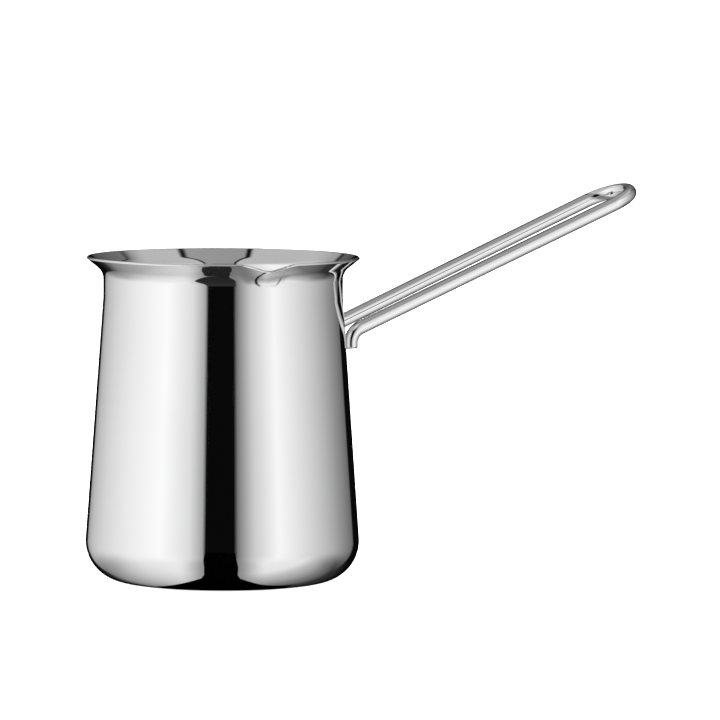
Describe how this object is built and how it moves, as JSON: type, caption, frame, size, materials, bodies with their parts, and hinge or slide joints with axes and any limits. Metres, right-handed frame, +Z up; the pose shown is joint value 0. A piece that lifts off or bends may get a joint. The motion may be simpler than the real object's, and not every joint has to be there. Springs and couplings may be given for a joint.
{
  "type": "turkish coffee pot cezve",
  "caption": "Polished steel cezve with a flared rim, a pressed pouring lip and a long loop handle bent from round rod.",
  "frame": {"origin": "on the pot's axis, on the flat face it stands on", "axes": "+Z up along the pot's axis, +X along the handle seen from above, pouring lip facing nearly -Y"},
  "size_m": [0.1783, 0.0822, 0.1167],
  "materials": {
    "pot_steel": "mirror-polished stainless sheet, 0.8 mm",
    "rod_steel": "polished stainless round rod, 4.2 mm",
    "weld_steel": "dressed stainless weld"
  },
  "bodies": {
    "root": {"pot_body": "pot_steel", "handle_rod": "rod_steel", "weld_near": "weld_steel", "weld_far": "weld_steel"}
  },
  "joints": []
}
